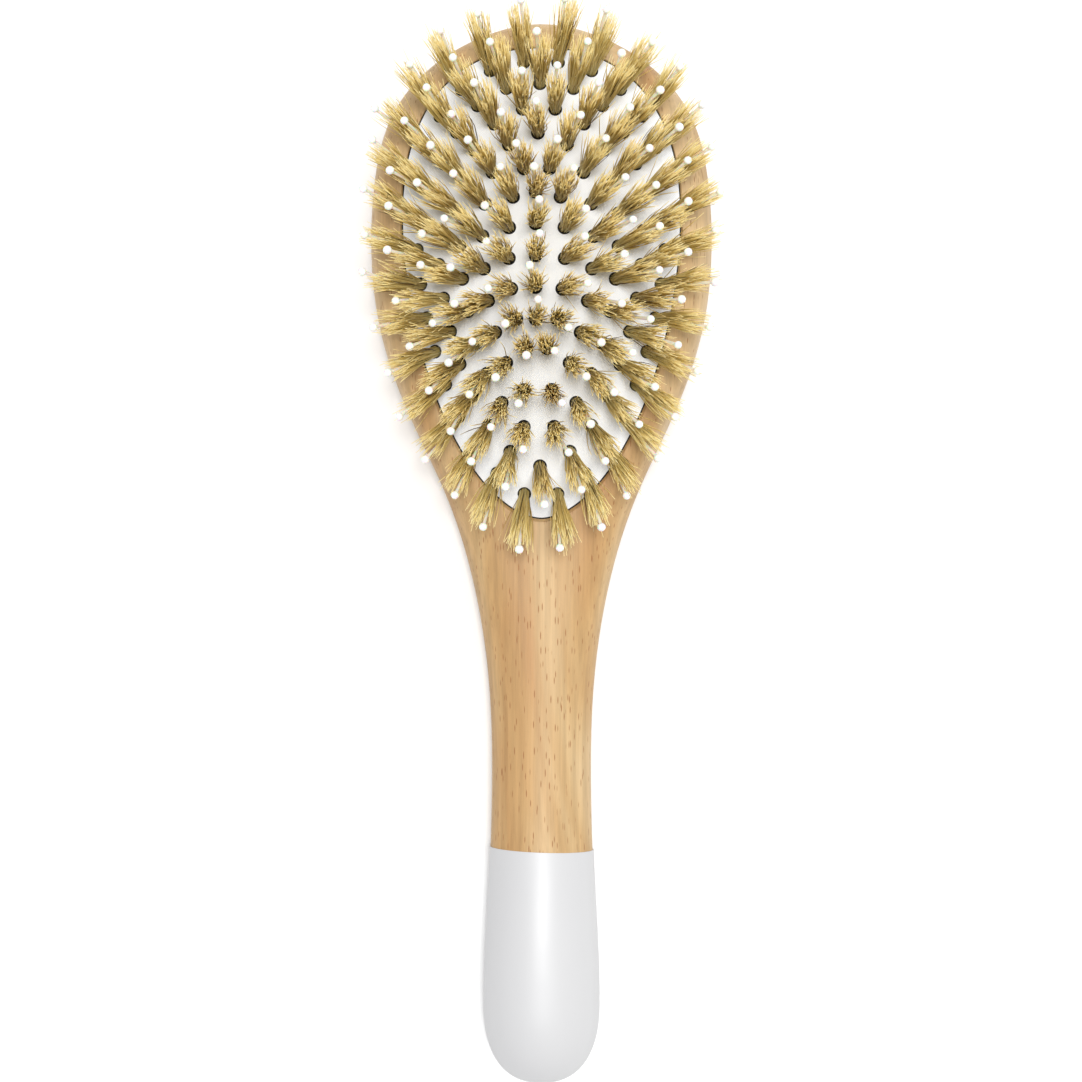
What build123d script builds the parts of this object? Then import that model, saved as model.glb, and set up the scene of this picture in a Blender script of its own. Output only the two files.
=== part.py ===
from build123d import *
import os
from math import copysign, cos, hypot, pi, radians, sin, sqrt

# A cushioned vanity hairbrush lying on its back: bristles up (+Z), head towards +Y,
# handle towards -Y, width along X.  Z = 0 is the surface that the head rests on, and the
# origin is under the middle of the brush.  All sizes are in millimetres.

# ---- whole brush -----------------------------------------------------------------------
LENGTH = 220.1
TOE_Y = LENGTH / 2
COAT_THICKNESS = 0.25
WOOD_LENGTH = LENGTH - COAT_THICKNESS

# ---- wooden body: half width at a distance from the toe, joined by one smooth curve ------
OUTLINE = [
    (0.0, 0.0),
    (11.8, 2.5),
    (22.8, 8.8),
    (31.1, 19.0),
    (34.8, 33.3),
    (35.45, 45.8),
    (34.0, 61.4),
    (28.0, 80.2),
    (19.5, 98.9),
    (13.6, 118.7),
    (10.9, 137.5),
    (10.3, 156.0),
    (10.9, 178.0),
    (11.85, 203.0),
]
HEEL_POWER = 2.4
HEEL_STATIONS = [0.3, 0.6, 0.82, 0.95, 0.99]
BODY_SECTIONS = 18
HALF_SECTION_STEPS = 16

HANDLE_END_HALF_WIDTH = 11.85
HANDLE_END_WIDEST = 203.0

# Heights of the widest line, and of the front and the back measured from it.
HEAD_WIDEST_Z = 9.0
END_WIDEST_Z = 9.9
HEAD_FRONT = 8.0
HEAD_BACK = 9.35
NECK_FRONT = 7.75
NECK_BACK = 7.75
END_FRONT = 9.1
END_BACK = 9.1
NECK_FROM_TOE = 150.0
HEAD_ENDS_AT = 80.0
EDGE_REACH = 35.4

# Squareness of the sections: 2 is an ellipse, more is flatter with a tighter edge.
ROUND = 2.0
HEAD_FRONT_SQUARE = 12.0
HEAD_BACK_SQUARE = 3.0
SHOULDER_SQUARE = 4.0
SQUARE_FROM_TOE = 35.0
SHOULDER_FROM_TOE = 105.0

# ---- egg-shaped cushion: every ring of the pattern is one level of the same egg ----------
EGG_WIDEST_Y = 68.6
EGG_HALF_WIDTH = 28.4
EGG_TOE_REACH = 35.0
EGG_HANDLE_REACH = 61.2
EGG_TOE_POWER = 2.3
EGG_HANDLE_POWER = 1.8
SPINE_X = -1.2
SPINE_TOE_Y = 73.6
SPINE_HANDLE_Y = 47.8
EGG_POINTS = 24

# ---- pocket in the head, with a groove that holds the cushion's flange -------------------
POCKET_GAP = 0.3
POCKET_FLOOR_Z = 6.0
MOUTH_Z = 16.3
MOUTH_BEVEL = 1.0
GROOVE_BOTTOM_Z = 12.4
GROOVE_TOP_Z = 14.4
GROOVE_DEPTH = 1.8

# ---- rubber cushion and its woven facing -------------------------------------------------
RUBBER_EDGE_Z = 16.1
CUSHION_RISE = 5.3
RISE_POWER = 3.0
RUBBER_THICKNESS = 1.6
RUBBER_WALL = 1.8
CAVITY_SHOULDER_Z = 15.0
FLANGE_REACH = 1.5
FACING_THICKNESS = 0.5
DOME_LEVELS = [1.0, 0.84, 0.66, 0.45, 0.2]
CAVITY_LEVELS = DOME_LEVELS[1:]

# ---- tufts: a short spine, then egg rings from the inside out ----------------------------
SPINE_TUFTS = 5
RING_LEVELS = [0.205, 0.40, 0.575, 0.745, 0.905]
RING_COUNTS = [14, 19, 24, 28, 32]
LENGTH_STEPS = 720
SIDE_LEAN = 28.0
SIDE_LEAN_POWER = 0.8
TOE_LEAN = 29.0
HANDLE_LEAN = 40.0
END_LEAN_POWER = 2.5

TUFT_HEIGHT = 17.0
TUFT_NECK = 1.0
TUFT_TAIL = 3.5
TUFT_ROOT_RADIUS = 1.2
TUFT_TIP_RADIUS = 2.2
RUBBER_HOLE_RADIUS = 1.35
FACING_HOLE_RADIUS = 1.5
HOLE_REACH = 5.0

PIN_RADIUS = 0.3
PIN_BALL_RADIUS = 0.9
PIN_BALL_GAP = 0.4
PIN_HEIGHT = TUFT_HEIGHT + PIN_BALL_RADIUS + PIN_BALL_GAP
PIN_TAIL = 2.1
PIN_TILT = 5.0

ANCHOR_RADIUS = 0.3
ANCHOR_LENGTH = 4.6
ANCHOR_DEPTH = 3.0

# ---- white dipped coat on the end of the handle ------------------------------------------
COAT_EDGE_Y = -61.2
COAT_EDGE_TILT = 2.0

# Larger than the brush in every direction, for cutting blocks.
FAR = 300.0


def ease(value, start, end):
    """Smooth step from 0 at start to 1 at end."""
    t = min(1.0, max(0.0, (value - start) / (end - start)))
    return t * t * (3 - 2 * t)


def mix(a, b, t):
    return a + (b - a) * t


def power(value, exponent):
    """value to a power, keeping its sign."""
    return copysign(abs(value) ** exponent, value)


# ---- wooden body -------------------------------------------------------------------------
def widest_z(s):
    """Height of the body's widest line at a distance s from the toe."""
    return mix(HEAD_WIDEST_Z, END_WIDEST_Z, ease(s, NECK_FROM_TOE, HANDLE_END_WIDEST))


def half_thickness(s, half_width, head, neck, end):
    """Thickness to one side of the widest line, rounded off at the toe and the handle's end."""
    body = mix(head, neck, ease(s, HEAD_ENDS_AT, NECK_FROM_TOE))
    body = mix(body, end, ease(s, NECK_FROM_TOE, HANDLE_END_WIDEST))
    if s < EDGE_REACH:
        body *= sqrt(1 - (1 - s / EDGE_REACH) ** HEAD_FRONT_SQUARE)
    if s > HANDLE_END_WIDEST:
        body *= half_width / HANDLE_END_HALF_WIDTH
    return body


def front_squareness(s):
    head = mix(ROUND, HEAD_FRONT_SQUARE, min(1.0, s / SQUARE_FROM_TOE))
    shoulder = mix(head, SHOULDER_SQUARE, ease(s, HEAD_ENDS_AT, SHOULDER_FROM_TOE))
    return mix(shoulder, ROUND, ease(s, SHOULDER_FROM_TOE, NECK_FROM_TOE))


def back_squareness(s):
    head = mix(ROUND, HEAD_BACK_SQUARE, min(1.0, s / SQUARE_FROM_TOE))
    return mix(head, ROUND, ease(s, HEAD_ENDS_AT, NECK_FROM_TOE))


def half_section(s, half_width, thickness, squareness):
    """Half of a cross-section: over the front when thickness is positive, else the back."""
    points = []
    for i in range(HALF_SECTION_STEPS + 1):
        side = cos(pi * i / HALF_SECTION_STEPS)
        height = thickness * sqrt(max(0.0, 1 - abs(side) ** squareness))
        points.append((half_width * side, TOE_Y - s, widest_z(s) + height))
    rise = copysign(1, thickness)
    return Spline(*points, tangents=((0, 0, rise), (0, 0, -rise)), tangent_scalars=(1, 1))


def section(s, half_width, grow):
    """One closed cross-section of the body, made larger all round by grow."""
    front = half_thickness(s, half_width, HEAD_FRONT, NECK_FRONT, END_FRONT) + grow
    back = half_thickness(s, half_width, HEAD_BACK, NECK_BACK, END_BACK) + grow
    return Wire([
        half_section(s, half_width + grow, front, front_squareness(s)),
        half_section(s, half_width + grow, -back, back_squareness(s)),
    ])


def stations():
    """Half width and distance from the toe of each section, from the toe to the handle's end."""
    outline = Spline(*OUTLINE, tangents=((1, 0), (0, 1)), tangent_scalars=(1, 1))
    places = [outline @ (i / BODY_SECTIONS) for i in range(1, BODY_SECTIONS + 1)]
    heel = WOOD_LENGTH - HANDLE_END_WIDEST
    rounded = [
        (HANDLE_END_HALF_WIDTH * (1 - t ** HEEL_POWER) ** (1 / HEEL_POWER),
         HANDLE_END_WIDEST + heel * t)
        for t in HEEL_STATIONS
    ]
    return [(place.X, place.Y) for place in places] + rounded


def body(grow=0.0):
    """The whole rounded body, made larger all round by grow."""
    sections = [section(s, width, grow) for width, s in stations()]
    toe = Vertex(0, TOE_Y + grow, HEAD_WIDEST_Z)
    heel = Vertex(0, TOE_Y - WOOD_LENGTH - grow, END_WIDEST_Z)
    return Solid.make_loft([toe] + sections + [heel])


# ---- egg levels --------------------------------------------------------------------------
def spine_y(angle):
    middle = (SPINE_TOE_Y + SPINE_HANDLE_Y) / 2
    return middle + (SPINE_TOE_Y - middle) * sin(angle)


def egg_edge(angle):
    """A point of the cushion's outline."""
    towards_toe = sin(angle) >= 0
    exponent = 2 / (EGG_TOE_POWER if towards_toe else EGG_HANDLE_POWER)
    reach = EGG_TOE_REACH if towards_toe else EGG_HANDLE_REACH
    x = EGG_HALF_WIDTH * power(cos(angle), exponent)
    y = EGG_WIDEST_Y + reach * power(sin(angle), exponent)
    return x, y


def egg_point(level, angle):
    """A point of one ring: level 0 is the spine and level 1 the cushion's outline."""
    x, y = egg_edge(angle)
    start = spine_y(angle)
    return SPINE_X + level * (x - SPINE_X), start + level * (y - start)


def cushion_z(level):
    """Height of the rubber's face above Z = 0 at a level of the egg."""
    return RUBBER_EDGE_Z + CUSHION_RISE * (1 - level ** RISE_POWER)


def egg_wire(level, z, grow=0.0):
    """One level of the egg as a closed curve at height z, moved outwards by grow."""
    ring = [egg_point(level, 2 * pi * (i + 0.5) / EGG_POINTS) for i in range(EGG_POINTS)]
    points = []
    for i, (x, y) in enumerate(ring):
        before = ring[i - 1]
        after = ring[(i + 1) % EGG_POINTS]
        run = (after[0] - before[0], after[1] - before[1])
        length = hypot(*run)
        points.append((x + grow * run[1] / length, y - grow * run[0] / length, z))
    return Wire([Spline(*points, periodic=True)])


def egg_plate(grow, z_low, z_high):
    """A plate with the cushion's outline, moved outwards by grow."""
    return Solid.make_loft([egg_wire(1.0, z_low, grow), egg_wire(1.0, z_high, grow)], ruled=True)


def dome(base_z, lift):
    """The space under the cushion's face, lifted by lift, down to a flat base."""
    levels = [egg_wire(level, cushion_z(level) + lift) for level in DOME_LEVELS]
    return Solid.make_loft([egg_wire(1.0, base_z), levels[0]], ruled=True) + Solid.make_loft(levels)


def cavity():
    """The air space inside the rubber cushion."""
    low = egg_wire(1.0, POCKET_FLOOR_Z, -RUBBER_WALL)
    shoulder = egg_wire(1.0, CAVITY_SHOULDER_Z, -RUBBER_WALL)
    levels = [egg_wire(level, cushion_z(level) - RUBBER_THICKNESS) for level in CAVITY_LEVELS]
    return Solid.make_loft([low, shoulder], ruled=True) + Solid.make_loft([shoulder] + levels)


# ---- places of the tufts -----------------------------------------------------------------
def evenly_spaced(level, count, start):
    """Angles of count points at equal distances along a ring, the first start steps on."""
    angles = [pi / 2 + 2 * pi * i / LENGTH_STEPS for i in range(LENGTH_STEPS + 1)]
    points = [egg_point(level, angle) for angle in angles]
    lengths = [0.0]
    for (x0, y0), (x1, y1) in zip(points, points[1:]):
        lengths.append(lengths[-1] + hypot(x1 - x0, y1 - y0))
    step = lengths[-1] / count
    wanted = [(i + start) * step for i in range(count)]
    return [next(a for a, length in zip(angles, lengths) if length >= goal) for goal in wanted]


def facing_z(level):
    return cushion_z(level) + FACING_THICKNESS


def tuft_lean(level, angle):
    """How far a tuft leans outwards from upright."""
    sides = SIDE_LEAN * level ** SIDE_LEAN_POWER
    ends = (TOE_LEAN if sin(angle) >= 0 else HANDLE_LEAN) * level ** END_LEAN_POWER
    return radians(mix(sides, ends, sin(angle) ** 2))


def ring_planes(level, count, start):
    """Planes at the feet of a ring's tufts: Z along the tuft, X outwards."""
    planes = []
    for angle in evenly_spaced(level, count, start):
        x, y = egg_point(level, angle)
        edge_x, edge_y = egg_edge(angle)
        reach = hypot(edge_x - SPINE_X, edge_y - spine_y(angle))
        out_x = (edge_x - SPINE_X) / reach
        out_y = (edge_y - spine_y(angle)) / reach
        lean = tuft_lean(level, angle)
        up = (sin(lean) * out_x, sin(lean) * out_y, cos(lean))
        out = (cos(lean) * out_x, cos(lean) * out_y, -sin(lean))
        planes.append(Plane(origin=(x, y, facing_z(level)), x_dir=out, z_dir=up))
    return planes


def spine_planes():
    """Planes at the feet of the spine's tufts: Z upright, X towards the toe."""
    step = (SPINE_TOE_Y - SPINE_HANDLE_Y) / (SPINE_TUFTS - 1)
    feet = [(SPINE_X, SPINE_TOE_Y - step * i, facing_z(0.0)) for i in range(SPINE_TUFTS)]
    return [Plane(origin=foot, x_dir=(0, 1, 0), z_dir=(0, 0, 1)) for foot in feet]


def tuft_rows():
    """The name of each group of tufts that moves together, and the planes of its tufts."""
    rows = {"spine": spine_planes()}
    for number, (level, count) in enumerate(zip(RING_LEVELS, RING_COUNTS), start=1):
        start = 0.5 if number % 2 else 0.0
        rows[f"ring_{number}"] = ring_planes(level, count, start)
    return rows


# ---- one tuft, its pin and its anchor, standing on the origin ----------------------------
def pin():
    """A nylon pin with a ball tip, tilted outwards within its tuft."""
    shaft = Pos(0, 0, -PIN_TAIL) * Cylinder(
        PIN_RADIUS, PIN_HEIGHT + PIN_TAIL, align=(Align.CENTER, Align.CENTER, Align.MIN)
    )
    return Rot(0, PIN_TILT, 0) * (shaft + Pos(0, 0, PIN_HEIGHT) * Sphere(PIN_BALL_RADIUS))


def anchor():
    """A wire crossbar through the fold of the tuft, behind the rubber."""
    return Pos(0, 0, -ANCHOR_DEPTH) * Rot(90, 0, 0) * Cylinder(ANCHOR_RADIUS, ANCHOR_LENGTH)


def tuft():
    """A bundle of bristles, straight through the cushion and flared above it."""
    profile = [
        (0, -TUFT_TAIL),
        (TUFT_ROOT_RADIUS, -TUFT_TAIL),
        (TUFT_ROOT_RADIUS, TUFT_NECK),
        (TUFT_TIP_RADIUS, TUFT_HEIGHT),
        (0, TUFT_HEIGHT),
    ]
    bundle = revolve(Plane.XZ * make_face(Polyline(*profile, close=True)), Axis.Z)
    return bundle - pin() - anchor()


def hole(radius):
    return Cylinder(radius, 2 * HOLE_REACH)


# ---- parts -------------------------------------------------------------------------------
def made_wood():
    """Beech head and handle: flat where it rests, with the cushion's pocket and groove."""
    ground = Pos(0, 0, -FAR / 2) * Box(FAR, FAR, FAR)
    pocket = egg_plate(POCKET_GAP, POCKET_FLOOR_Z, FAR)
    groove = egg_plate(GROOVE_DEPTH, GROOVE_BOTTOM_Z, GROOVE_TOP_Z)
    mouth = Solid.make_loft(
        [
            egg_wire(1.0, MOUTH_Z, POCKET_GAP),
            egg_wire(1.0, MOUTH_Z + MOUTH_BEVEL, POCKET_GAP + MOUTH_BEVEL),
        ],
        ruled=True,
    )
    return body() - ground - pocket - groove - mouth


def made_coat():
    """Thin lacquer skin over the end of the handle, with a slightly slanting edge."""
    skin = body(COAT_THICKNESS) - body()
    dipped = Pos(0, COAT_EDGE_Y, 0) * Rot(0, 0, -COAT_EDGE_TILT) * Pos(0, -FAR / 2, 0)
    return skin & dipped * Box(FAR, FAR, FAR)


def made_rubber(planes):
    """Moulded cushion: a hollow dome on a wall whose flange sits in the pocket's groove."""
    flange = egg_plate(FLANGE_REACH, GROOVE_BOTTOM_Z, GROOVE_TOP_Z)
    holes = [plane.location * hole(RUBBER_HOLE_RADIUS) for plane in planes]
    return (dome(GROOVE_BOTTOM_Z, 0.0) + flange) - cavity() - holes


def made_facing(planes):
    """White woven cloth over the rubber's face."""
    holes = [plane.location * hole(FACING_HOLE_RADIUS) for plane in planes]
    return dome(RUBBER_EDGE_Z, FACING_THICKNESS) - dome(GROOVE_BOTTOM_Z, 0.0) - holes


def repeated(piece, planes):
    """The same piece at every plane, as separate solids."""
    return Compound([plane.location * piece for plane in planes])


def main():
    os.makedirs("parts", exist_ok=True)
    rows = tuft_rows()
    planes = [plane for row in rows.values() for plane in row]
    parts = {
        "wood_body": made_wood(),
        "handle_dip_coat": made_coat(),
        "cushion_rubber": made_rubber(planes),
        "cushion_facing": made_facing(planes),
    }
    for name, row in rows.items():
        parts[f"bristle_tufts_{name}"] = repeated(tuft(), row)
        parts[f"nylon_pins_{name}"] = repeated(pin(), row)
        parts[f"wire_anchors_{name}"] = repeated(anchor(), row)
    for name, part in parts.items():
        export_step(part, f"parts/{name}.step")


if __name__ == "__main__":
    main()
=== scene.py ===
from math import cos, pi, radians, sin, sqrt

import bmesh
import bpy
import numpy as np
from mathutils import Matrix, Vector


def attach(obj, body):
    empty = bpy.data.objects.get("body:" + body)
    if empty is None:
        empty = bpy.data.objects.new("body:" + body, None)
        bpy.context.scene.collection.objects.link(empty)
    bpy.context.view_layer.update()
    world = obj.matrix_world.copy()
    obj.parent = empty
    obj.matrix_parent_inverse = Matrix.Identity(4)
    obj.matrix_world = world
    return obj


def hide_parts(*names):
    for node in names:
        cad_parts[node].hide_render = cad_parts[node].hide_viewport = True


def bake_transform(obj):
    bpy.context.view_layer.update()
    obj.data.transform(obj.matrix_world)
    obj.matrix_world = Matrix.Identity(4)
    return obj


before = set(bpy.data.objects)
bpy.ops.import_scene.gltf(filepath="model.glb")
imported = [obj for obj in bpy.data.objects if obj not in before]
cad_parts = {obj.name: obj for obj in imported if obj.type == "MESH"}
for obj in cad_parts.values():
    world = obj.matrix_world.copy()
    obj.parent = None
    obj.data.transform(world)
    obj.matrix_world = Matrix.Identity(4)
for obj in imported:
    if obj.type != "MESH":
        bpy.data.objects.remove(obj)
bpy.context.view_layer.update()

# A cushioned vanity hairbrush on its back, bristles up.  Lengths below are in millimetres
# and are turned into metres when a mesh is made.  +Y is towards the head's toe.
MM = 0.001
RNG = np.random.default_rng(7)

# ---- wooden body, as in the CAD ----------------------------------------------------------
TOE_Y = 110.05
COAT_THICKNESS = 0.25
WOOD_LENGTH = 219.85
OUTLINE = [
    (0.0, 0.0),
    (11.8, 2.5),
    (22.8, 8.8),
    (31.1, 19.0),
    (34.8, 33.3),
    (35.45, 45.8),
    (34.0, 61.4),
    (28.0, 80.2),
    (19.5, 98.9),
    (13.6, 118.7),
    (10.9, 137.5),
    (10.3, 156.0),
    (10.9, 178.0),
    (11.85, 203.0),
]
HEEL_POWER = 2.4
HANDLE_END_HALF_WIDTH = 11.85
HANDLE_END_WIDEST = 203.0
HEAD_WIDEST_Z, END_WIDEST_Z = 9.0, 9.9
HEAD_FRONT, NECK_FRONT, END_FRONT = 8.0, 7.75, 9.1
HEAD_BACK, NECK_BACK, END_BACK = 9.35, 7.75, 9.1
NECK_FROM_TOE = 150.0
HEAD_ENDS_AT = 80.0
EDGE_REACH = 35.4
ROUND, HEAD_FRONT_SQUARE, HEAD_BACK_SQUARE, SHOULDER_SQUARE = 2.0, 12.0, 3.0, 4.0
SQUARE_FROM_TOE, SHOULDER_FROM_TOE = 35.0, 105.0

# ---- pocket, cushion and rings, as in the CAD --------------------------------------------
EGG_WIDEST_Y, EGG_HALF_WIDTH = 68.6, 28.4
EGG_TOE_REACH, EGG_HANDLE_REACH = 35.0, 61.2
EGG_TOE_POWER, EGG_HANDLE_POWER = 2.3, 1.8
SPINE_X, SPINE_TOE_Y, SPINE_HANDLE_Y = -1.2, 73.6, 47.8
POCKET_GAP, POCKET_FLOOR_Z = 0.3, 6.0
MOUTH_Z, MOUTH_BEVEL = 16.3, 1.0
GROOVE_BOTTOM_Z, GROOVE_TOP_Z, GROOVE_DEPTH = 12.4, 14.4, 1.8
RUBBER_EDGE_Z, CUSHION_RISE, RISE_POWER = 16.1, 5.3, 3.0
FACING_THICKNESS = 0.5
SPINE_TUFTS = 5
RING_LEVELS = [0.205, 0.40, 0.575, 0.745, 0.905]
RING_COUNTS = [14, 19, 24, 28, 32]
LENGTH_STEPS = 720
SIDE_LEAN, TOE_LEAN, HANDLE_LEAN = 28.0, 29.0, 40.0
SIDE_LEAN_POWER, END_LEAN_POWER = 0.8, 2.5
TUFT_HEIGHT = 17.0
COAT_EDGE_Y, COAT_EDGE_TILT = -61.2, 2.0

# ---- finer detail of the body, cushion and cloth -----------------------------------------
TOE_STATIONS = [0.5, 1.0]
BODY_STATIONS, HEEL_STATIONS, AROUND = 170, 22, 112
WOOD_CREASE, COAT_CREASE, DOME_CREASE = 28, 40, 50
CUTTER_TOP_Z = 110.0
COAT_BLANK_FROM_TOE = 160.0
EGG_POINTS = 180
GRID_LEVELS, GRID_ANGLES = 104, 480
GRID_MERGE, TINY = 0.05, 1e-6
LIP_REACH = 4

CLOTH_THICKNESS, CLOTH_HEM = 0.3, 0.6
CLOTH_HOLE_RADIUS, CLOTH_HOLE_SHIFT = 1.42, 0.12
CLOTH_DIP, CLOTH_DIP_WIDTH = 0.22, 0.9
SKIN_THICKNESS, SKIN_DROP = 1.5, 0.06
SKIN_HOLE_RADIUS, SKIN_HOLE_SHIFT = 1.28, 0.1
SKIN_LIP, SKIN_LIP_WIDTH = 0.34, 0.22
FLANGE_REACH = 1.5

# ---- bristles and pins; a scatter is the standard deviation of a random change -----------
GOLDEN_TURN = pi * (3 - sqrt(5))
BRISTLES = 120
BRISTLE_RADIUS, BRISTLE_RADIUS_RANGE, BRISTLE_TAPER = 0.11, (0.75, 1.15), 0.5
BRISTLE_SIDES, BRISTLE_STEPS = 3, 5
BRISTLE_TAIL, BRISTLE_COLLAR = 2.2, 0.7
BRISTLE_BOW_SCATTER, BRISTLE_SPLAY_POWER = 0.3, 1.1
TUFT_ROOT, TUFT_SPREAD, TUFT_SPREAD_RANGE = 1.08, 2.5, (0.7, 1.15)
TUFT_OVERHANG, TUFT_OVERHANG_SCATTER = 1.6, 0.3
TUFT_DRIFT_SCATTER, TUFT_TONE_SCATTER = 0.3, 0.06
LOCKS, LOCK_SCATTER = 5, 0.5
TURN_JITTER = 0.3
TIP_SCATTER, HEIGHT_SCATTER = 0.25, 0.75
STRAY_SHARE, STRAY_SCATTER, STRAY_DROP = 0.09, 1.1, 3.5
PIN_CLEARANCE, CLEARED_HEIGHT_RANGE = 0.6, (0.62, 0.86)
DARK_SHARE, DARK_TONE = 0.035, 0.03
USUAL_TONE, TONE_SCATTER, TONE_RANGE = 0.55, 0.17, (0.12, 1)
WHOLE_TURN = 6.3

PIN_RADIUS, BALL_RADIUS, BALL_RADIUS_RANGE = 0.34, 0.85, (0.93, 1.05)
PIN_HEIGHT, PIN_HEIGHT_RANGE, PIN_TAIL = 18.5, (-0.7, 0.4), 2.0
PIN_TILT, PIN_OUT_SCATTER, PIN_SIDE_SCATTER, PIN_BOW_SCATTER = 6.5, 0.5, 0.85, 0.2
PIN_STEPS, PIN_SIDES, BALL_RINGS, BALL_SIDES = 6, 8, 10, 16
SHAFT_SHARE = 0.85

# ---- studio: places in metres, turns in degrees, the floor in millimetres ----------------
CAMERA_PLACE, CAMERA_LENS, SENSOR_WIDTH = (-0.0001, 0.0026, 0.490), 76.8, 36
FLOOR_REACH = 2000
WORLD_STRENGTH = 0.5
SUN_ENERGY, SUN_SPREAD, SUN_TILT, SUN_LEAN = 2.35, 14, -3, 2
SIDE_LIGHT_PLACE, SIDE_LIGHT_SIZE, SIDE_LIGHT_ENERGY = (0.7, 0.5, 0.7), 0.6, 2.0


# ---- numbers -----------------------------------------------------------------------------
def ease(value, start, end):
    """0 before start, 1 after end and a smooth step between them."""
    t = min(1.0, max(0.0, (value - start) / (end - start)))
    return t * t * (3 - 2 * t)


def mix(a, b, t):
    return a + (b - a) * t


def power(value, exponent):
    """A power that keeps the value's sign."""
    return np.sign(value) * np.abs(value) ** exponent


# ---- meshes ------------------------------------------------------------------------------
def new_object(name, vertices, faces, smooth=True):
    """A mesh object from points in millimetres."""
    mesh = bpy.data.meshes.new(name)
    mesh.from_pydata((np.asarray(vertices) * MM).tolist(), [], faces)
    mesh.update()
    if smooth:
        mesh.shade_smooth()
    obj = bpy.data.objects.new(name, mesh)
    bpy.context.scene.collection.objects.link(obj)
    return obj


def bake_modifiers(obj):
    """Applies the object's modifiers to its mesh."""
    graph = bpy.context.evaluated_depsgraph_get()
    mesh = bpy.data.meshes.new_from_object(obj.evaluated_get(graph))
    obj.modifiers.clear()
    old = obj.data
    obj.data = mesh
    bpy.data.meshes.remove(old)


def fix_normals(obj):
    """Turns every face outwards."""
    bm = bmesh.new()
    bm.from_mesh(obj.data)
    bmesh.ops.recalc_face_normals(bm, faces=bm.faces)
    bm.to_mesh(obj.data)
    bm.free()


def count_points(parts):
    return sum(len(part) for part in parts)


def tube_rings(first, ring_count, ring_size):
    """Quads between successive closed rings of ring_size vertices."""
    faces = []
    for r in range(ring_count - 1):
        low = first + r * ring_size
        for i in range(ring_size):
            j = (i + 1) % ring_size
            faces.append((low + i, low + j, low + ring_size + j, low + ring_size + i))
    return faces


def clamped_spline(points, start_slope, end_slope):
    """A cubic spline through points, with its length along the chords as its parameter."""
    p = np.asarray(points, float)
    knots = np.concatenate([[0], np.cumsum(np.hypot(*np.diff(p, axis=0).T))])
    count = len(knots)
    step = np.diff(knots)
    chord = np.diff(p, axis=0) / step[:, None]
    weights = np.zeros((count, count))
    wanted = np.zeros((count, 2))
    weights[0, 0], wanted[0] = 1, start_slope
    weights[-1, -1], wanted[-1] = 1, end_slope
    for i in range(1, count - 1):
        before, after = step[i - 1], step[i]
        weights[i, i - 1 : i + 2] = after, 2 * (before + after), before
        wanted[i] = 3 * (chord[i - 1] * after + chord[i] * before)
    slope = np.linalg.solve(weights, wanted)

    def at(length):
        i = min(count - 2, max(0, int(np.searchsorted(knots, length) - 1)))
        s = (length - knots[i]) / step[i]
        return (
            (2 * s**3 - 3 * s**2 + 1) * p[i]
            + (s**3 - 2 * s**2 + s) * step[i] * slope[i]
            + (-2 * s**3 + 3 * s**2) * p[i + 1]
            + (s**3 - s**2) * step[i] * slope[i + 1]
        )

    return at, knots[-1]


# ---- wooden body -------------------------------------------------------------------------
# Below, s is the distance from the toe along the brush.
def widest_z(s):
    """The height of the section's widest line."""
    return mix(HEAD_WIDEST_Z, END_WIDEST_Z, ease(s, NECK_FROM_TOE, HANDLE_END_WIDEST))


def half_thickness(s, half_width, head, neck, end):
    """The front's or back's height from the widest line, from its heights along the brush."""
    body = mix(head, neck, ease(s, HEAD_ENDS_AT, NECK_FROM_TOE))
    body = mix(body, end, ease(s, NECK_FROM_TOE, HANDLE_END_WIDEST))
    if s < EDGE_REACH:
        body *= sqrt(1 - (1 - s / EDGE_REACH) ** HEAD_FRONT_SQUARE)
    if s > HANDLE_END_WIDEST:
        body *= half_width / HANDLE_END_HALF_WIDTH
    return body


def front_squareness(s):
    """How square the front is: 2 is an ellipse, and more is flatter with a tighter edge."""
    head = mix(ROUND, HEAD_FRONT_SQUARE, min(1.0, s / SQUARE_FROM_TOE))
    shoulder = mix(head, SHOULDER_SQUARE, ease(s, HEAD_ENDS_AT, SHOULDER_FROM_TOE))
    return mix(shoulder, ROUND, ease(s, SHOULDER_FROM_TOE, NECK_FROM_TOE))


def back_squareness(s):
    head = mix(ROUND, HEAD_BACK_SQUARE, min(1.0, s / SQUARE_FROM_TOE))
    return mix(head, ROUND, ease(s, HEAD_ENDS_AT, NECK_FROM_TOE))


def section(s, half_width, grow):
    """The closed outline of the body across the brush."""
    front = half_thickness(s, half_width, HEAD_FRONT, NECK_FRONT, END_FRONT) + grow
    back = half_thickness(s, half_width, HEAD_BACK, NECK_BACK, END_BACK) + grow
    points = []
    for i in range(AROUND):
        angle = 2 * pi * i / AROUND
        side = cos(angle)
        if sin(angle) >= 0:
            height = front * sqrt(max(0.0, 1 - abs(side) ** front_squareness(s)))
        else:
            height = -back * sqrt(max(0.0, 1 - abs(side) ** back_squareness(s)))
        points.append(((half_width + grow) * side, TOE_Y - s, max(0.0, widest_z(s) + height)))
    return points


def stations():
    """Half width and distance from the toe of every section, from toe to heel."""
    at, length = clamped_spline(OUTLINE, (1, 0), (0, 1))
    steps = [(i / BODY_STATIONS) * length for i in range(1, BODY_STATIONS + 1)]
    places = [tuple(at(step)) for step in TOE_STATIONS + steps]
    heel = WOOD_LENGTH - HANDLE_END_WIDEST
    for i in range(1, HEEL_STATIONS):
        t = sin(pi / 2 * i / HEEL_STATIONS)
        width = HANDLE_END_HALF_WIDTH * (1 - t**HEEL_POWER) ** (1 / HEEL_POWER)
        places.append((width, HANDLE_END_WIDEST + heel * t))
    return places


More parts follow.
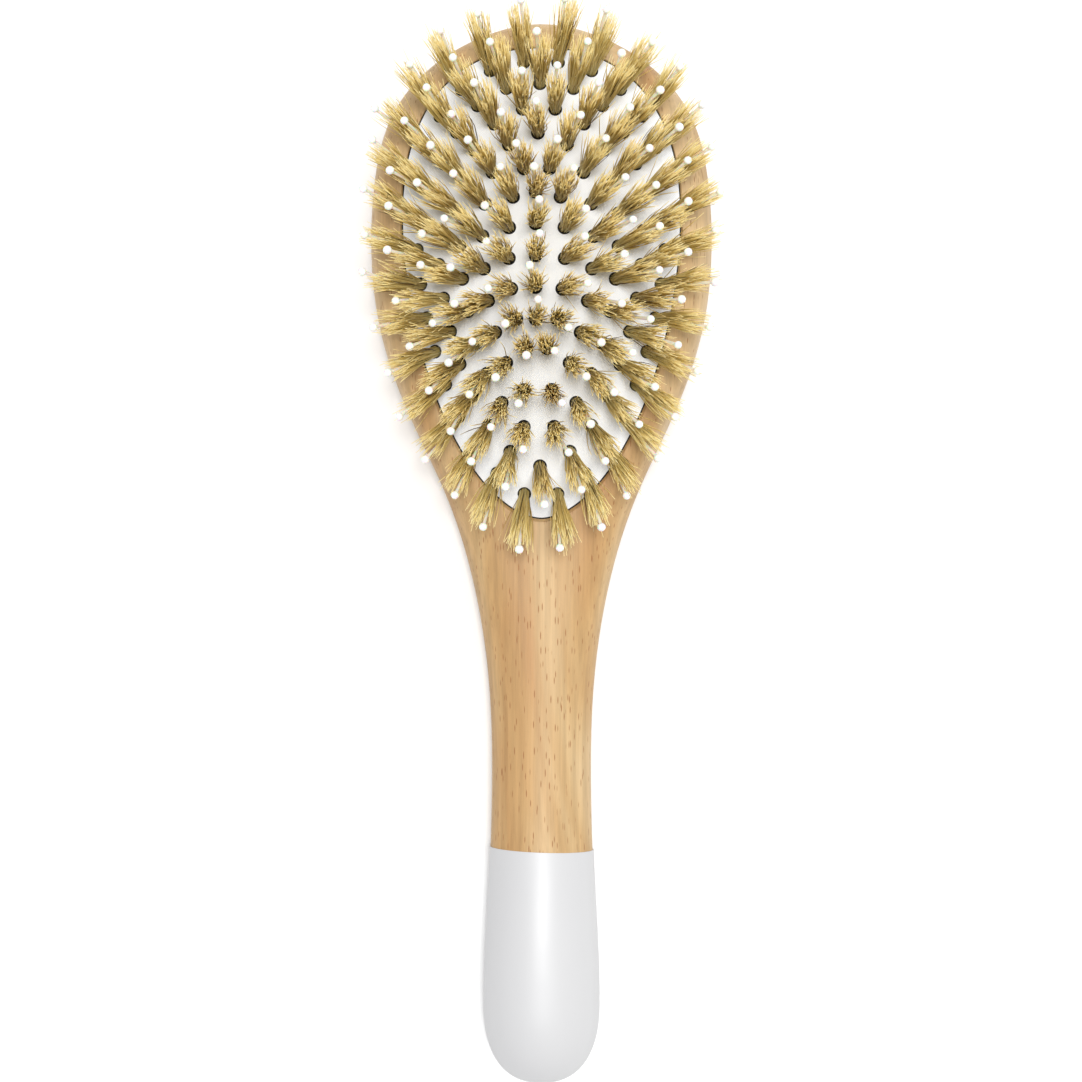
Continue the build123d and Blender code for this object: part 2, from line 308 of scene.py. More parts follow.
def body_mesh(name, grow=0.0, from_toe=0.0):
    """The rounded body, or its end from a distance from the toe, larger all round by grow."""
    rings = [section(s, width, grow) for width, s in stations() if s >= from_toe]
    vertices = [point for ring in rings for point in ring]
    faces = tube_rings(0, len(rings), AROUND)
    heel = len(vertices)
    vertices.append((0, TOE_Y - WOOD_LENGTH - grow, END_WIDEST_Z))
    last = (len(rings) - 1) * AROUND
    faces += [(last + i, last + (i + 1) % AROUND, heel) for i in range(AROUND)]
    if from_toe == 0.0:
        toe = len(vertices)
        vertices.append((0, TOE_Y + grow, HEAD_WIDEST_Z))
        faces += [((i + 1) % AROUND, i, toe) for i in range(AROUND)]
    obj = new_object(name, vertices, faces)
    fix_normals(obj)
    return obj


# ---- egg levels --------------------------------------------------------------------------
# A level goes from 0 on the middle row to 1 at the cushion's edge.
def spine_y(angle):
    """Where on the middle row the point at an angle starts."""
    middle = (SPINE_TOE_Y + SPINE_HANDLE_Y) / 2
    return middle + (SPINE_TOE_Y - middle) * np.sin(angle)


def egg_edge(angle):
    """The cushion's edge: two half superellipses that meet at its widest line."""
    toe = np.sin(angle) >= 0
    exponent = np.where(toe, 2 / EGG_TOE_POWER, 2 / EGG_HANDLE_POWER)
    reach = np.where(toe, EGG_TOE_REACH, EGG_HANDLE_REACH)
    x = EGG_HALF_WIDTH * power(np.cos(angle), exponent)
    y = EGG_WIDEST_Y + reach * power(np.sin(angle), exponent)
    return x, y


def egg_point(level, angle):
    x, y = egg_edge(angle)
    start = spine_y(angle)
    return SPINE_X + level * (x - SPINE_X), start + level * (y - start)


def cushion_z(level):
    """The height of the domed rubber."""
    return RUBBER_EDGE_Z + CUSHION_RISE * (1 - level**RISE_POWER)


def facing_z(level):
    return cushion_z(level) + FACING_THICKNESS


def egg_outline(grow, count=EGG_POINTS):
    """The cushion's outline in plan, moved outwards by grow."""
    angle = 2 * pi * (np.arange(count) + 0.5) / count
    x, y = egg_point(1.0, angle)
    run_x = np.roll(x, -1) - np.roll(x, 1)
    run_y = np.roll(y, -1) - np.roll(y, 1)
    length = np.hypot(run_x, run_y)
    return x + grow * run_y / length, y - grow * run_x / length


def egg_prism(name, levels):
    """A closed solid through egg outlines, given as (grow, height) from the bottom up."""
    rings = []
    for grow, z in levels:
        x, y = egg_outline(grow)
        rings.append(np.stack([x, y, np.full_like(x, z)], axis=1))
    count = len(rings[0])
    faces = tube_rings(0, len(rings), count)
    faces.append(tuple(reversed(range(count))))
    top = (len(rings) - 1) * count
    faces.append(tuple(range(top, top + count)))
    obj = new_object(name, np.concatenate(rings), faces, smooth=False)
    fix_normals(obj)
    return obj


# ---- places of the tufts -----------------------------------------------------------------
def evenly_spaced(level, count, start):
    """Angles of count points at equal lengths along a level, start of a space from the toe."""
    angles = pi / 2 + 2 * pi * np.arange(LENGTH_STEPS + 1) / LENGTH_STEPS
    x, y = egg_point(level, angles)
    lengths = np.concatenate([[0], np.cumsum(np.hypot(np.diff(x), np.diff(y)))])
    wanted = (np.arange(count) + start) * lengths[-1] / count
    return np.interp(wanted, lengths, angles)


class Foot:
    """Where a tuft stands: its foot, its axis, and the way outwards square to the axis."""

    def __init__(self, x, y, level, out, lean):
        self.at = np.array((x, y, facing_z(level)))
        self.level_out = np.array((out[0], out[1], 0.0))
        self.up = sin(lean) * self.level_out + np.array((0, 0, cos(lean)))
        self.out = cos(lean) * self.level_out - np.array((0, 0, sin(lean)))
        self.side = np.cross(self.up, self.out)

    def place(self, out, side, rise):
        """Points at distances outwards, sideways and along the tuft."""
        steps = np.stack(np.broadcast_arrays(out, side, rise), axis=1)
        return self.at + steps @ np.stack([self.out, self.side, self.up])


def tuft_lean(level, angle):
    """How far a tuft leans outwards from upright."""
    sides = SIDE_LEAN * level**SIDE_LEAN_POWER
    ends = (TOE_LEAN if sin(angle) >= 0 else HANDLE_LEAN) * level**END_LEAN_POWER
    return radians(mix(sides, ends, sin(angle) ** 2))


def ring_feet(level, count, start):
    feet = []
    for angle in evenly_spaced(level, count, start):
        x, y = egg_point(level, angle)
        edge_x, edge_y = egg_edge(angle)
        out = np.array((edge_x - SPINE_X, edge_y - spine_y(angle)))
        feet.append(Foot(x, y, level, out / np.linalg.norm(out), tuft_lean(level, angle)))
    return feet


def tuft_rows():
    """The feet of every row by its name, with every other ring half a space round."""
    step = (SPINE_TOE_Y - SPINE_HANDLE_Y) / (SPINE_TUFTS - 1)
    along = [SPINE_TOE_Y - step * i for i in range(SPINE_TUFTS)]
    rows = {"spine": [Foot(SPINE_X, y, 0.0, (0, 1), 0.0) for y in along]}
    for number, (level, count) in enumerate(zip(RING_LEVELS, RING_COUNTS), start=1):
        rows[f"ring_{number}"] = ring_feet(level, count, 0.5 if number % 2 else 0.0)
    return rows


ROWS = tuft_rows()
BODY_OF_ROW = {row: row for row in ROWS}
BODY_OF_ROW.update(spine="crown", ring_1="crown")


# ---- node materials ----------------------------------------------------------------------
MIX_FACTOR, MIX_A, MIX_B, MIX_RESULT = 0, 6, 7, 2


class Nodes:
    """A material's nodes, with short calls for the ones used here."""

    def __init__(self, name):
        self.material = bpy.data.materials.new(name)
        self.material.use_nodes = True
        self.tree = self.material.node_tree
        self.shader = self.tree.nodes["Principled BSDF"]

    def feed(self, socket, value):
        """Sets a constant on a socket, or links another node's output to it."""
        if isinstance(value, (int, float, tuple)):
            socket.default_value = value
        else:
            self.tree.links.new(value, socket)

    def add(self, kind, links=(), values=(), **settings):
        node = self.tree.nodes.new(kind)
        for key, value in settings.items():
            setattr(node, key, value)
        for socket, value in dict(values).items():
            node.inputs[socket].default_value = value
        for socket, source in dict(links).items():
            self.tree.links.new(source, node.inputs[socket])
        return node

    def place(self, scale):
        """Object coordinates, in metres, times a scale for each axis."""
        where = self.add("ShaderNodeTexCoord").outputs["Object"]
        node = self.add("ShaderNodeMapping", {"Vector": where}, {"Scale": scale})
        return node.outputs["Vector"]

    def noise(self, scale, detail=3.0, rough=0.5, warp=0.0):
        node = self.add(
            "ShaderNodeTexNoise",
            {"Vector": self.place(scale)},
            {"Scale": 1.0, "Detail": detail, "Roughness": rough, "Distortion": warp},
        )
        return node.outputs["Fac"]

    def ramp(self, value, stops):
        """A colour band through stops, each a place from 0 to 1 and a colour."""
        node = self.add("ShaderNodeValToRGB", {"Fac": value})
        band = node.color_ramp
        while len(band.elements) < len(stops):
            band.elements.new(0.5)
        for element, (place, colour) in zip(band.elements, stops):
            element.position = place
            element.color = (*colour, 1.0)
        return node.outputs["Color"]

    def math(self, operation, a, b=0.0):
        node = self.add("ShaderNodeMath", operation=operation)
        for socket, value in zip(node.inputs, (a, b)):
            self.feed(socket, value)
        return node.outputs["Value"]

    def blend(self, factor, a, b, mode="MIX"):
        node = self.add("ShaderNodeMix", data_type="RGBA", blend_type=mode)
        for number, value in ((MIX_FACTOR, factor), (MIX_A, a), (MIX_B, b)):
            self.feed(node.inputs[number], value)
        return node.outputs[MIX_RESULT]

    def bump(self, height, distance, strength=1.0):
        node = self.add(
            "ShaderNodeBump", {"Height": height}, {"Distance": distance, "Strength": strength}
        )
        self.tree.links.new(node.outputs["Normal"], self.shader.inputs["Normal"])

    def set(self, **values):
        for name, value in values.items():
            self.feed(self.shader.inputs[name.replace("_", " ")], value)
        return self.material


def grey(value):
    return (value, value, value)


def beech():
    """Pale beech, with grain along the brush, soft bands and short brown flecks."""
    nodes = Nodes("beech_wood")
    bands = nodes.noise((62, 9, 62), detail=3.0, warp=1.1)
    base = nodes.ramp(bands, [
        (0.26, (0.45, 0.240, 0.095)),
        (0.42, (0.55, 0.345, 0.155)),
        (0.56, (0.62, 0.425, 0.215)),
        (0.74, (0.67, 0.490, 0.280)),
    ])
    streaks = nodes.noise((700, 16, 700), detail=5.0, rough=0.7)
    streaks = nodes.ramp(streaks, [(0.32, grey(0.80)), (0.68, grey(1.10))])
    colour = nodes.blend(1.0, base, streaks, "MULTIPLY")
    cells = nodes.add(
        "ShaderNodeTexVoronoi",
        {"Vector": nodes.place((1750, 230, 1750))},
        {"Scale": 1.0, "Randomness": 1.0},
    )
    fleck = nodes.ramp(cells.outputs["Distance"], [(0.13, grey(1.0)), (0.23, grey(0.0))])
    patches = nodes.noise((260, 60, 260), detail=1.0)
    patchy = nodes.ramp(patches, [(0.3, grey(0.45)), (0.46, grey(1.0))])
    fleck = nodes.math("MULTIPLY", fleck, patchy)
    fleck = nodes.math("MULTIPLY", fleck, 0.9)
    colour = nodes.blend(fleck, colour, (0.33, 0.145, 0.05, 1.0))
    pores = nodes.noise((2600, 130, 2600), detail=2.0)
    height = nodes.math("ADD", pores, nodes.math("MULTIPLY", fleck, -0.8))
    nodes.bump(height, distance=0.00006, strength=0.6)
    rough = nodes.ramp(streaks, [(0.0, grey(0.60)), (1.0, grey(0.48))])
    return nodes.set(Base_Color=colour, Roughness=rough, Specular_IOR_Level=0.3)


def lacquer():
    """Satin white lacquer, with a slight orange-peel and a trace of handling."""
    nodes = Nodes("white_lacquer")
    handling = nodes.noise((35, 14, 35))
    tint = nodes.ramp(handling, [(0.3, (0.59, 0.59, 0.60)), (0.7, (0.615, 0.615, 0.62))])
    nodes.bump(nodes.noise((700, 700, 700), detail=1.0), distance=0.00002, strength=0.35)
    rough = nodes.ramp(nodes.noise((160, 60, 160)), [(0.3, grey(0.40)), (0.7, grey(0.48))])
    return nodes.set(Base_Color=tint, Roughness=rough, Coat_Weight=0.1, Coat_Roughness=0.3)


def cloth():
    """White plain weave, a thread every half millimetre each way (turn is in radians per mm)."""
    nodes = Nodes("woven_facing")
    turn = 12.0
    where = nodes.add("ShaderNodeSeparateXYZ", {"Vector": nodes.place((1000, 1000, 1000))})
    wobble = nodes.math("MULTIPLY", nodes.noise((500, 500, 500), detail=1.0), 1.5)
    waves = []
    for axis in "XY":
        phase = nodes.math("ADD", nodes.math("MULTIPLY", where.outputs[axis], turn), wobble)
        waves.append(nodes.math("SINE", phase))
    weave = nodes.math("MULTIPLY", *waves)
    height = nodes.math("ADD", nodes.math("MULTIPLY", weave, 0.35), 0.5)
    slub = nodes.noise((500, 300, 500), detail=2.0)
    tone = nodes.math("ADD", nodes.math("MULTIPLY", height, 0.6), nodes.math("MULTIPLY", slub, 0.4))
    colour = nodes.ramp(tone, [(0.2, (0.85, 0.865, 0.89)), (0.55, (0.93, 0.955, 0.99))])
    nodes.bump(height, distance=0.00008, strength=0.8)
    return nodes.set(Base_Color=colour, Roughness=0.9, Sheen_Weight=0.2)


def rubber():
    """Black moulded rubber with a dull, slightly dusty skin."""
    nodes = Nodes("natural_rubber")
    dust = nodes.noise((220, 220, 220))
    tone = nodes.ramp(dust, [(0.3, (0.008, 0.008, 0.009)), (0.75, (0.028, 0.026, 0.025))])
    nodes.bump(nodes.noise((1500, 1500, 1500)), distance=0.00003, strength=0.5)
    return nodes.set(Base_Color=tone, Roughness=0.68)


def bristle():
    """Boar bristle: each hair has its own tone; all are darker at the root and paler at the tip,
    partly their own colour, partly painted shade in the tuft and a painted highlight on the tips.
    """
    nodes = Nodes("boar_bristle")
    tone = nodes.add("ShaderNodeAttribute", attribute_name="hair_tone").outputs["Fac"]
    along = nodes.add("ShaderNodeAttribute", attribute_name="along").outputs["Fac"]
    body = nodes.ramp(tone, [
        (0.0, (0.06, 0.04, 0.02)),
        (0.10, (0.42, 0.26, 0.08)),
        (0.30, (0.78, 0.57, 0.18)),
        (0.60, (0.93, 0.75, 0.29)),
        (1.0, (0.97, 0.86, 0.46)),
    ])
    # darker at the root, brighter at the tip: partly the hair's own colour, partly painted shade
    # low in the tuft and painted light on the tips
    fade_and_painted_light = nodes.ramp(along, [
        (0.0, grey(0.7)),
        (0.25, grey(0.95)),
        (0.7, grey(1.0)),
        (1.0, grey(1.1)),
    ])
    colour = nodes.blend(1.0, body, fade_and_painted_light, "MULTIPLY")
    # the pale tip blend is partly the hair's own pale tip and partly a painted highlight on the lit
    # tips
    tip = nodes.ramp(along, [(0.72, grey(0.0)), (1.0, grey(1.0))])
    tip = nodes.math("MULTIPLY", tip, 0.5)
    colour = nodes.blend(tip, colour, (0.93, 0.82, 0.50, 1.0))
    nodes.bump(nodes.noise((3000, 3000, 500)), distance=0.00002, strength=0.4)
    return nodes.set(Base_Color=colour, Roughness=0.55, Specular_IOR_Level=0.25)


def nylon():
    """Milky nylon; the shaft is darker and warmer towards its foot, a painted shade tinted like the
    bristles around it.
    """
    nodes = Nodes("white_nylon")
    along = nodes.add("ShaderNodeAttribute", attribute_name="along").outputs["Fac"]
    # painted shade: the shaft's colour darkens and warms towards its foot among the bristles
    colour = nodes.ramp(along, [
        (0.0, (0.72, 0.67, 0.57)),
        (0.7, (0.93, 0.91, 0.87)),
        (1.0, (0.94, 0.93, 0.91)),
    ])
    nodes.bump(nodes.noise((900, 900, 900)), distance=0.00001, strength=0.3)
    return nodes.set(
        Base_Color=colour, Roughness=0.3, Subsurface_Weight=0.5, Subsurface_Scale=0.0015
    )


def steel():
    """Drawn steel wire, dull with faint draw marks."""
    nodes = Nodes("steel_wire")
    tone = nodes.ramp(nodes.noise((900, 4000, 4000)), [(0.3, grey(0.36)), (0.7, grey(0.52))])
    rough = nodes.ramp(nodes.noise((500, 500, 500)), [(0.3, grey(0.32)), (0.7, grey(0.5))])
    return nodes.set(Base_Color=tone, Roughness=rough, Metallic=1.0)


def paper_floor():
    """Plain near-white card."""
    nodes = Nodes("pale_floor")
    tone = nodes.ramp(nodes.noise((9, 9, 9)), [(0.3, grey(0.90)), (0.7, grey(0.92))])
    return nodes.set(Base_Color=tone, Roughness=0.9)


def dress(obj, material):
    obj.data.materials.clear()
    obj.data.materials.append(material)


# ---- pieces ------------------------------------------------------------------------------
def cut(obj, tool):
    """Takes tool out of obj and removes the tool."""
    modifier = obj.modifiers.new("cut", "BOOLEAN")
    modifier.operation = "DIFFERENCE"
    modifier.solver = "EXACT"
    modifier.object = tool
    bake_modifiers(obj)
    bpy.data.objects.remove(tool)


def make_wood(material):
    """The beech body with the pocket that the cushion sits in."""
    wood = body_mesh("beech_body")
    profile = [
        (POCKET_GAP, POCKET_FLOOR_Z),
        (POCKET_GAP, GROOVE_BOTTOM_Z),
        (GROOVE_DEPTH, GROOVE_BOTTOM_Z),
        (GROOVE_DEPTH, GROOVE_TOP_Z),
        (POCKET_GAP, GROOVE_TOP_Z),
        (POCKET_GAP, MOUTH_Z),
        (POCKET_GAP + MOUTH_BEVEL, MOUTH_Z + MOUTH_BEVEL),
        (POCKET_GAP + MOUTH_BEVEL, CUTTER_TOP_Z),
    ]
    cut(wood, egg_prism("pocket", profile))
    wood.data.shade_smooth()
    wood.data.set_sharp_from_angle(angle=radians(WOOD_CREASE))
    dress(wood, material)
    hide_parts("wood_body")
    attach(wood, "root")


def make_coat(material):
    """The dipped lacquer: a thin skin that ends in a crisp, slightly slanting edge."""
    coat = body_mesh("dip_coat", grow=COAT_THICKNESS, from_toe=COAT_BLANK_FROM_TOE)
    bm = bmesh.new()
    bm.from_mesh(coat.data)
    tilt = radians(COAT_EDGE_TILT)
    bmesh.ops.bisect_plane(
        bm,
        geom=bm.verts[:] + bm.edges[:] + bm.faces[:],
        plane_co=(0, COAT_EDGE_Y * MM, 0),
        plane_no=(sin(tilt), cos(tilt), 0),
        clear_outer=True,
    )
    bm.to_mesh(coat.data)
    bm.free()
    shell = coat.modifiers.new("shell", "SOLIDIFY")
    shell.thickness = COAT_THICKNESS * MM
    shell.offset = -1
    bake_modifiers(coat)
    coat.data.shade_smooth()
    coat.data.set_sharp_from_angle(angle=radians(COAT_CREASE))
    dress(coat, material)
    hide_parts("handle_dip_coat")
    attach(coat, "root")


def open_holes(points, faces, hole_radius, hole_shift):
    """Drops the faces inside every hole and draws each rim onto a circle."""
    feet = [foot for row in ROWS.values() for foot in row]
    centres = [foot.at - hole_shift * foot.level_out for foot in feet]
    inside = np.full(len(points), -1)
    for number, centre in enumerate(centres):
        offset = points - centre
        inside[np.hypot(offset[:, 0], offset[:, 1]) < hole_radius] = number
    faces = faces[~(inside[faces] >= 0).all(axis=1)]
    used = np.unique(faces)
    for number, centre in enumerate(centres):
        rim = used[inside[used] == number]
        offset = points[rim, :2] - centre[:2]
        distance = np.maximum(np.hypot(offset[:, 0], offset[:, 1]), TINY)
        points[rim, :2] = centre[:2] + offset * (hole_radius / distance)[:, None]
    return faces


def raise_rims(points, hole_radius, hole_shift, lip, lip_width):
    """Lifts the face by lip at every hole, fading over lip_width."""
    for foot in (foot for row in ROWS.values() for foot in row):
        offset = points - (foot.at - hole_shift * foot.level_out)
        distance = np.hypot(offset[:, 0], offset[:, 1])
        near = distance < hole_radius + LIP_REACH * lip_width
        gap = np.maximum(0, distance[near] - hole_radius)
        points[near, 2] += lip * np.exp(-((gap / lip_width) ** 2))


def dome_grid(lift, hole_radius, hole_shift, lip, lip_width, skirt=()):
    """The cushion's face as points and quads, open at every tuft.

    Around each hole the face rises by lip, or sinks where lip is negative.
    skirt gives more rings below the edge, as (grow, height).
    """
    angles = 2 * pi * (np.arange(GRID_ANGLES) + 0.5) / GRID_ANGLES
    rings = []
    for level in np.linspace(0.0, 1.0, GRID_LEVELS):
        x, y = egg_point(level, angles)
        rings.append(np.stack([x, y, np.full_like(x, cushion_z(level) + lift)], axis=1))
    points = np.concatenate(rings)
    raise_rims(points, hole_radius, hole_shift, lip, lip_width)
    quads = np.array(tube_rings(0, GRID_LEVELS, GRID_ANGLES))
    faces = open_holes(points, quads, hole_radius, hole_shift).tolist()
    edge = (GRID_LEVELS - 1) * GRID_ANGLES
    for grow, z in skirt:
        x, y = egg_outline(grow, GRID_ANGLES)
        first = len(points)
        points = np.concatenate([points, np.stack([x, y, np.full_like(x, z)], axis=1)])
        for i in range(GRID_ANGLES):
            j = (i + 1) % GRID_ANGLES
            faces.append((edge + i, edge + j, first + j, first + i))
        edge = first
    return points, faces


def cleaned(obj):
    """Merges the grid's doubled points along the spine and drops loose ones."""
    merge = GRID_MERGE * MM
    bm = bmesh.new()
    bm.from_mesh(obj.data)
    bmesh.ops.remove_doubles(bm, verts=bm.verts, dist=merge)
    bmesh.ops.dissolve_degenerate(bm, dist=merge / 2, edges=bm.edges)
    loose = [vertex for vertex in bm.verts if not vertex.link_faces]
    bmesh.ops.delete(bm, geom=loose, context="VERTS")
    bmesh.ops.recalc_face_normals(bm, faces=bm.faces)
    if sum(face.normal.z for face in bm.faces) < 0:
        bmesh.ops.reverse_faces(bm, faces=bm.faces)
    bm.to_mesh(obj.data)
    bm.free()


def thicken(obj, thickness):
    """Gives the face a thickness, inwards."""
    shell = obj.modifiers.new("shell", "SOLIDIFY")
    shell.thickness = thickness * MM
    shell.offset = -1
    shell.use_even_offset = False
    bake_modifiers(obj)
    obj.data.shade_smooth()
    obj.data.set_sharp_from_angle(angle=radians(DOME_CREASE))


def make_facing(material):
    """The white cloth on the cushion, open round each tuft and pulled down a little there."""
    points, faces = dome_grid(
        FACING_THICKNESS, CLOTH_HOLE_RADIUS, CLOTH_HOLE_SHIFT, -CLOTH_DIP, CLOTH_DIP_WIDTH
    )
    facing = new_object("cushion_cloth", points, faces)
    cleaned(facing)
    thicken(facing, CLOTH_THICKNESS)
    dress(facing, material)
    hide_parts("cushion_facing")
    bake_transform(facing)


def make_rubber(material):
    """The black cushion: domed face with a lip round each tuft, wall and flange."""
    skirt = [
        (0.0, GROOVE_TOP_Z),
        (FLANGE_REACH, GROOVE_TOP_Z),
        (FLANGE_REACH, GROOVE_BOTTOM_Z),
    ]
    points, faces = dome_grid(
        -SKIN_DROP, SKIN_HOLE_RADIUS, SKIN_HOLE_SHIFT, SKIN_LIP, SKIN_LIP_WIDTH, skirt
    )
    pad = new_object("cushion_pad", points, faces)
    cleaned(pad)
    thicken(pad, SKIN_THICKNESS)
    dress(pad, material)
    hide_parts("cushion_rubber")
    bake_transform(pad)
    return pad


def hair_tube(path, radii, sides, spin):
    """Points round a path, as rings of sides points."""
    tangent = np.gradient(path, axis=0)
    tangent /= np.linalg.norm(tangent, axis=1)[:, None]
    across = np.cross(tangent, (0.0, 1.0, 0.0))
    across /= np.linalg.norm(across, axis=1)[:, None]
    square = np.cross(tangent, across)
    turn = (spin + 2 * pi * np.arange(sides) / sides)[:, None]
    ring = np.cos(turn) * across[:, None] + np.sin(turn) * square[:, None]
    return (path[:, None] + radii[:, None, None] * ring).reshape(-1, 3)


class Tuft:
    """What a tuft's hairs share: where its locks end, and its drift, rise and tone."""

    def __init__(self):
        self.locks = RNG.normal(0, LOCK_SCATTER, (LOCKS, 2))
        self.tone = RNG.normal(0, TUFT_TONE_SCATTER)
        self.drift = RNG.normal(0, TUFT_DRIFT_SCATTER, 2)
        self.rise = RNG.normal(TUFT_OVERHANG, TUFT_OVERHANG_SCATTER)


def hair_end(tuft, place, pin):
    """Where a hair ends: square to its tuft's axis, and along it.

    A few hairs stray.  Those that would hide the pin from above are shorter.
    """
    stray = RNG.random() < STRAY_SHARE
    spread = TUFT_SPREAD * RNG.uniform(*TUFT_SPREAD_RANGE)
    tip = place * spread + tuft.locks[int(RNG.integers(LOCKS))] + tuft.drift
    tip += RNG.normal(0, STRAY_SCATTER if stray else TIP_SCATTER, 2)
    height = TUFT_HEIGHT + tuft.rise + RNG.normal(0, HEIGHT_SCATTER)
    if stray:
        height -= RNG.uniform(0, STRAY_DROP)
    if tip[0] < pin[0] and abs(tip[1] - pin[1]) < PIN_CLEARANCE:
        height *= RNG.uniform(*CLEARED_HEIGHT_RANGE)
    return tip, height


def hair_tone(tuft):
    """How pale a hair is, from 0 to 1: a few are nearly black."""
    if RNG.random() < DARK_SHARE:
        return DARK_TONE
    return np.clip(RNG.normal(USUAL_TONE + tuft.tone, TONE_SCATTER), *TONE_RANGE)


def tuft_hairs(foot, pin, points, faces, tone, along):
    """Adds one tuft's bristles: tight at the foot, spread and uneven at the tips."""
    tuft = Tuft()
    steps = np.linspace(0, 1, BRISTLE_STEPS + 1)
    for k in range(BRISTLES):
        turn = k * GOLDEN_TURN + RNG.uniform(-TURN_JITTER, TURN_JITTER)
        place = np.array((cos(turn), sin(turn))) * sqrt((k + 0.5) / BRISTLES)
        tip, height = hair_end(tuft, place, pin)
        bow = RNG.normal(0, BRISTLE_BOW_SCATTER, 2)
        rise = np.append(-BRISTLE_TAIL, np.linspace(BRISTLE_COLLAR, height, BRISTLE_STEPS))
        free = np.clip((rise - BRISTLE_COLLAR) / (height - BRISTLE_COLLAR), 0, 1)
        root = place * TUFT_ROOT
        plan = root + (tip - root) * free[:, None] ** BRISTLE_SPLAY_POWER
        plan += bow * np.sin(pi * free)[:, None]
        thickness = BRISTLE_RADIUS * RNG.uniform(*BRISTLE_RADIUS_RANGE)
        radii = thickness * (1 - BRISTLE_TAPER * steps**3)
        first = count_points(points)
        path = foot.place(plan[:, 0], plan[:, 1], rise)
        points.append(hair_tube(path, radii, BRISTLE_SIDES, RNG.uniform(0, WHOLE_TURN)))
        faces += tube_rings(first, BRISTLE_STEPS + 1, BRISTLE_SIDES)
        end = first + BRISTLE_STEPS * BRISTLE_SIDES
        faces.append(tuple(range(end, end + BRISTLE_SIDES)))
        tone.append(np.full((BRISTLE_STEPS + 1) * BRISTLE_SIDES, hair_tone(tuft)))
        along.append(np.repeat(free, BRISTLE_SIDES))


def set_attribute(obj, name, values):
    """Gives every vertex a number that the materials can read."""
    attribute = obj.data.attributes.new(name, "FLOAT", "POINT")
    attribute.data.foreach_set("value", np.asarray(values, np.float32))


def make_tufts(row, material, pins):
    """All of one row's bristles as one mesh."""
    points, faces, tone, along = [], [], [], []
    for foot, pin in zip(ROWS[row], pins):
        tuft_hairs(foot, pin, points, faces, tone, along)
    hairs = new_object(f"bristles_{row}", np.concatenate(points), faces)
    set_attribute(hairs, "hair_tone", np.concatenate(tone))
    set_attribute(hairs, "along", np.concatenate(along))
    dress(hairs, material)
    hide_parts(f"bristle_tufts_{row}")
    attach(hairs, BODY_OF_ROW[row])


def ball(centre, radius):
    """Points and quads of a sphere that is closed by its two poles."""
    points = [centre + np.array((0, 0, -radius))]
    for i in range(1, BALL_RINGS):
        tilt = pi * i / BALL_RINGS
        for j in range(BALL_SIDES):
            turn = 2 * pi * j / BALL_SIDES
            way = np.array((sin(tilt) * cos(turn), sin(tilt) * sin(turn), -cos(tilt)))
            points.append(centre + radius * way)
    points.append(centre + np.array((0, 0, radius)))
    faces = tube_rings(1, BALL_RINGS - 1, BALL_SIDES)
    top = len(points) - 1
    last = 1 + (BALL_RINGS - 2) * BALL_SIDES
    for j in range(BALL_SIDES):
        k = (j + 1) % BALL_SIDES
        faces.append((0, 1 + k, 1 + j))
        faces.append((last + j, last + k, top))
    return np.array(points), faces


def pin_tips(row):
    """How far outwards and sideways each of a row's pins ends from its tuft's axis."""
    reach = PIN_HEIGHT * sin(radians(PIN_TILT))
    return [
        (reach + RNG.normal(0, PIN_OUT_SCATTER), RNG.normal(0, PIN_SIDE_SCATTER))
        for foot in ROWS[row]
    ]


def make_pins(row, material, tips):
    """One slightly askew nylon pin with a ball tip in each tuft of a row."""
    points, faces, along = [], [], []
    steps = np.linspace(0, 1, PIN_STEPS + 1)
    for foot, tip in zip(ROWS[row], tips):
        height = PIN_HEIGHT + RNG.uniform(*PIN_HEIGHT_RANGE)
        bend = RNG.normal(0, PIN_BOW_SCATTER, 2)
        rise = mix(-PIN_TAIL, height, steps)
        sway = np.sin(pi * steps)
        share = rise / height
        out, side = (tip[i] * share + bend[i] * sway for i in range(2))
        path = foot.place(out, side, rise)
        first = count_points(points)
        points.append(hair_tube(path, np.full(PIN_STEPS + 1, PIN_RADIUS), PIN_SIDES, 0.0))
        faces += tube_rings(first, PIN_STEPS + 1, PIN_SIDES)
        along.append(np.repeat(steps * SHAFT_SHARE, PIN_SIDES))
        first = count_points(points)
        radius = BALL_RADIUS * RNG.uniform(*BALL_RADIUS_RANGE)
        ball_points, ball_faces = ball(path[-1], radius)
        points.append(ball_points)
        faces += [tuple(first + i for i in face) for face in ball_faces]
        along.append(np.ones(len(ball_points)))
    pins = new_object(f"ball_pins_{row}", np.concatenate(points), faces)
    set_attribute(pins, "along", np.concatenate(along))
    fix_normals(pins)
    dress(pins, material)
    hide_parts(f"nylon_pins_{row}")
    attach(pins, BODY_OF_ROW[row])


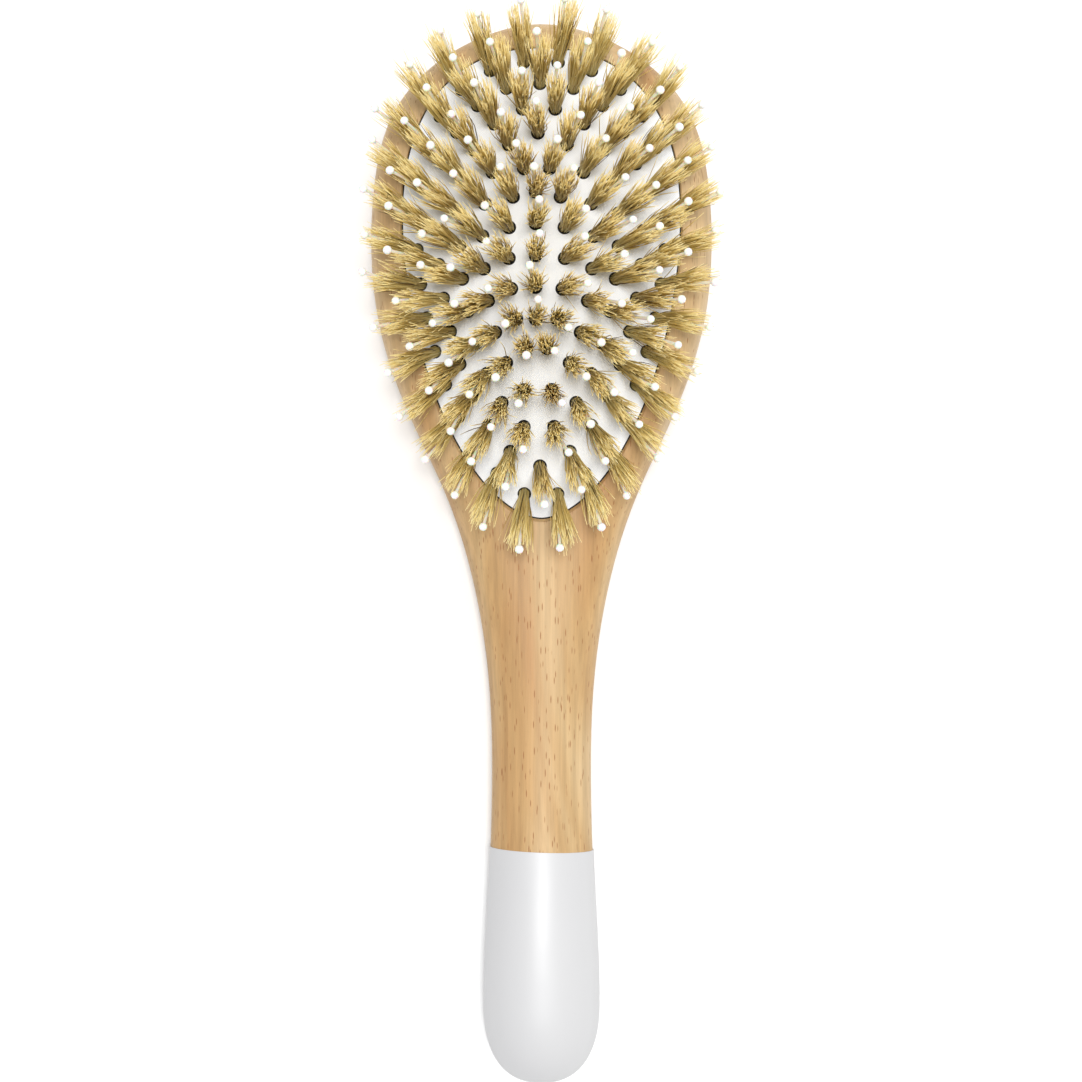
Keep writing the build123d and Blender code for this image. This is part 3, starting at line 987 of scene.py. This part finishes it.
# ---- studio ------------------------------------------------------------------------------
def place_in_scene(name, data, place=(0, 0, 0), turn=(0, 0, 0)):
    obj = bpy.data.objects.new(name, data)
    obj.location = place
    obj.rotation_euler = turn
    bpy.context.scene.collection.objects.link(obj)
    return obj


def make_camera():
    """Straight above the bristle side, with the brush filling the picture's height."""
    data = bpy.data.cameras.new("camera")
    data.sensor_width = SENSOR_WIDTH
    data.lens = CAMERA_LENS
    bpy.context.scene.camera = place_in_scene("camera", data, CAMERA_PLACE)


def make_floor():
    """A wide pale card under the brush."""
    far = FLOOR_REACH
    corners = [(-far, -far, 0), (far, -far, 0), (far, far, 0), (-far, far, 0)]
    floor = new_object("floor", corners, [(0, 1, 2, 3)], smooth=False)
    dress(floor, paper_floor())


def make_lights():
    """White surroundings, a soft sun nearly overhead and a weak panel at the side."""
    world = bpy.data.worlds.new("studio")
    world.use_nodes = True
    background = world.node_tree.nodes["Background"]
    background.inputs["Color"].default_value = (1, 1, 1, 1)
    background.inputs["Strength"].default_value = WORLD_STRENGTH
    bpy.context.scene.world = world
    bpy.context.scene.view_settings.view_transform = "Standard"
    sun = bpy.data.lights.new("overhead", "SUN")
    sun.energy = SUN_ENERGY
    sun.angle = radians(SUN_SPREAD)
    place_in_scene("overhead", sun, turn=(radians(SUN_TILT), radians(SUN_LEAN), 0))
    panel = bpy.data.lights.new("side", "AREA")
    panel.size = SIDE_LIGHT_SIZE
    panel.energy = SIDE_LIGHT_ENERGY
    aim = (-Vector(SIDE_LIGHT_PLACE)).to_track_quat("-Z", "Y").to_euler()
    place_in_scene("side", panel, SIDE_LIGHT_PLACE, aim)


def main():
    make_camera()
    make_floor()
    make_lights()
    make_wood(beech())
    make_coat(lacquer())
    pad = make_rubber(rubber())
    make_facing(cloth())
    hair, pin_stuff, wire = bristle(), nylon(), steel()
    for row in ROWS:
        tips = pin_tips(row)
        make_tufts(row, hair, tips)
        make_pins(row, pin_stuff, tips)
        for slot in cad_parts[f"wire_anchors_{row}"].material_slots:
            slot.material = wire


main()
